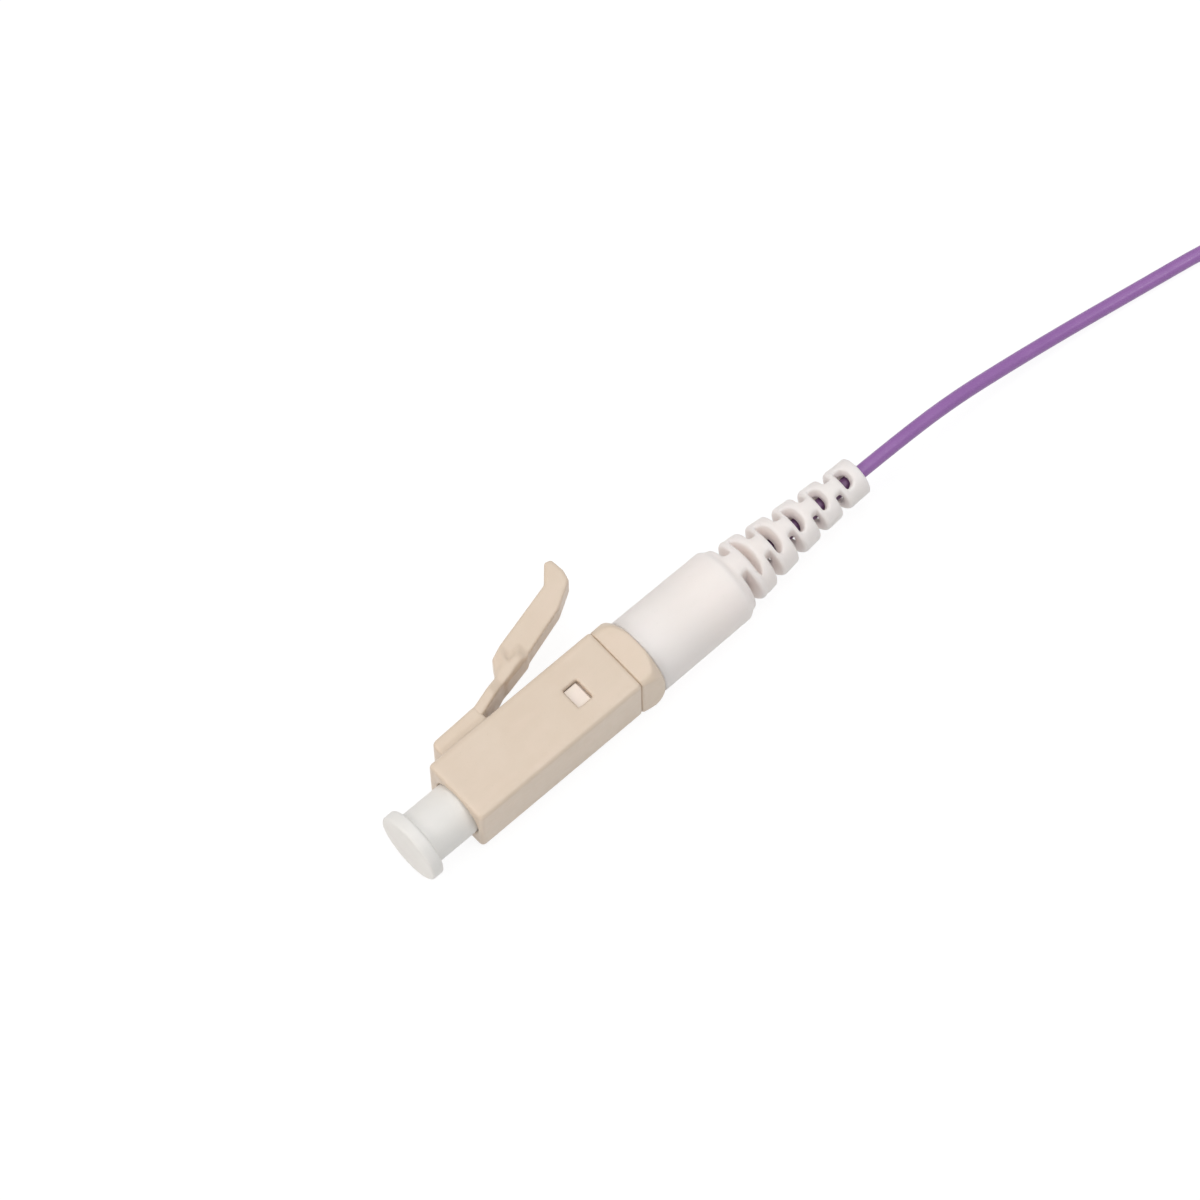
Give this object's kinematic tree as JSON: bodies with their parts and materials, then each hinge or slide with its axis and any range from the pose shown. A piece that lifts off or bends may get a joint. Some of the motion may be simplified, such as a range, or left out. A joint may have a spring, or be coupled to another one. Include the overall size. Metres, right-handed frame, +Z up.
{
  "type": "lc fibre connector",
  "caption": "Small square fibre plug with a cantilever latch, pull-off dust cap, slotted boot and a coiled buffered fibre tail.",
  "frame": {"origin": "on the ferrule's axis at the housing's front face, where the plug meets its adapter", "axes": "+X rearward along the fibre, +Y towards the latch, +Z up: the plug lies on its side"},
  "size_m": [0.0861, 0.0168, 0.0052],
  "materials": {
    "beige_plastic": "fine matt moulded",
    "white_plastic": "satin moulded",
    "cap_plastic": "soft milky polyethylene",
    "boot_plastic": "soft satin elastomer",
    "ceramic": "ground and polished",
    "nickel": "plated",
    "spring_steel": "drawn wire",
    "glass_core": "clear",
    "purple_buffer": "extruded satin",
    "tie_plastic": "film"
  },
  "bodies": {
    "plug": {"plug_housing": "beige_plastic", "rear_collar": "beige_plastic", "inner_body": "white_plastic", "boot": "boot_plastic", "spring": "spring_steel", "buffer_in_plug": "purple_buffer", "fibre_cord": "purple_buffer", "fibre_coil": "purple_buffer", "coil_tie": "tie_plastic"},
    "latch": {"latch_arm": "beige_plastic"},
    "cap": {"dust_cap": "cap_plastic"},
    "ferrule_group": {"ferrule": "ceramic", "ferrule_flange": "nickel", "glass_fibre": "glass_core"}
  },
  "joints": [
    {"name": "latch_press", "type": "hinge", "parent": "plug", "child": "latch", "pos_m": [0.0048, 0.00341, 0], "axis": [0, 0, -1], "range_deg": [0, 12], "stiffness_Nm_per_rad": 0.1},
    {"name": "cap_pull", "type": "slide", "parent": "plug", "child": "cap", "axis": [-1, 0, 0], "range_m": [0, 0.0065]},
    {"name": "ferrule_float", "type": "slide", "parent": "plug", "child": "ferrule_group", "axis": [1, 0, 0], "range_m": [0, 0.0006], "stiffness_N_per_m": 1500, "deforming": ["spring"]}
  ]
}
